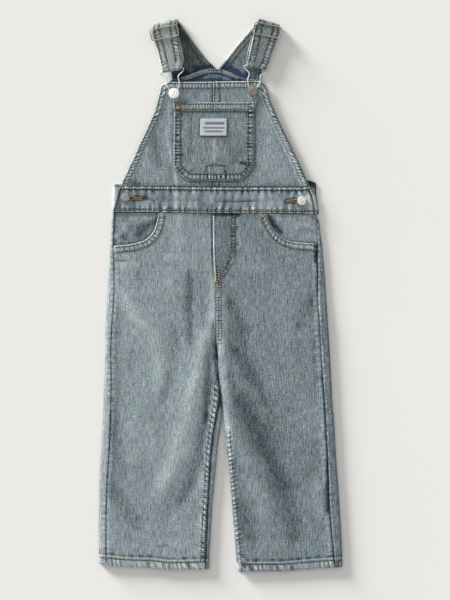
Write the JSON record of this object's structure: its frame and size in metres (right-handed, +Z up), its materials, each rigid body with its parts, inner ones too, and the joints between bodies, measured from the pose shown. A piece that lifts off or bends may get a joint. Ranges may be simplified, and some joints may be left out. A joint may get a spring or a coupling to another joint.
{
  "type": "child's denim dungarees, laid out flat",
  "caption": "Child's light-wash denim dungarees laid out flat, front up: bib with a patch pocket, straps with sliders and wire buckles, scoop pockets, mock fly and straight legs.",
  "frame": {"origin": "middle of the area the laid-out garment covers, on the floor it lies on", "axes": "+X to the wearer's left, +Y from the leg hems to the shoulder straps, +Z up out of the garment's front"},
  "size_m": [0.3411, 0.774, 0.0106],
  "materials": {
    "washed_denim": "light-wash cotton twill, matte, faded along seams and folds",
    "unfaded_denim": "darker indigo cotton twill, matte",
    "woven_label": "silvery woven ribbon",
    "steel_wire": "satin steel wire",
    "bright_button": "bright pressed steel",
    "dull_button": "dull pressed steel"
  },
  "bodies": {
    "root": {"back_leg_l": "washed_denim", "back_leg_r": "washed_denim", "front_leg_l": "washed_denim", "front_leg_r": "washed_denim", "pocket_facing_l": "washed_denim", "pocket_facing_r": "washed_denim", "fly": "washed_denim", "front_waistband": "washed_denim", "back_waistband": "washed_denim", "bib_l": "washed_denim", "bib_r": "washed_denim", "bib_pocket": "washed_denim", "back_facing": "washed_denim", "strap_l": "washed_denim", "strap_r": "washed_denim", "back_bib_l": "unfaded_denim", "back_bib_r": "unfaded_denim", "label": "woven_label", "slider_l": "steel_wire", "slider_r": "steel_wire", "buckle_l": "steel_wire", "buckle_r": "steel_wire", "bib_button_l": "bright_button", "side_button_r": "bright_button", "bib_button_r": "dull_button", "side_button_l": "dull_button"}
  },
  "joints": []
}
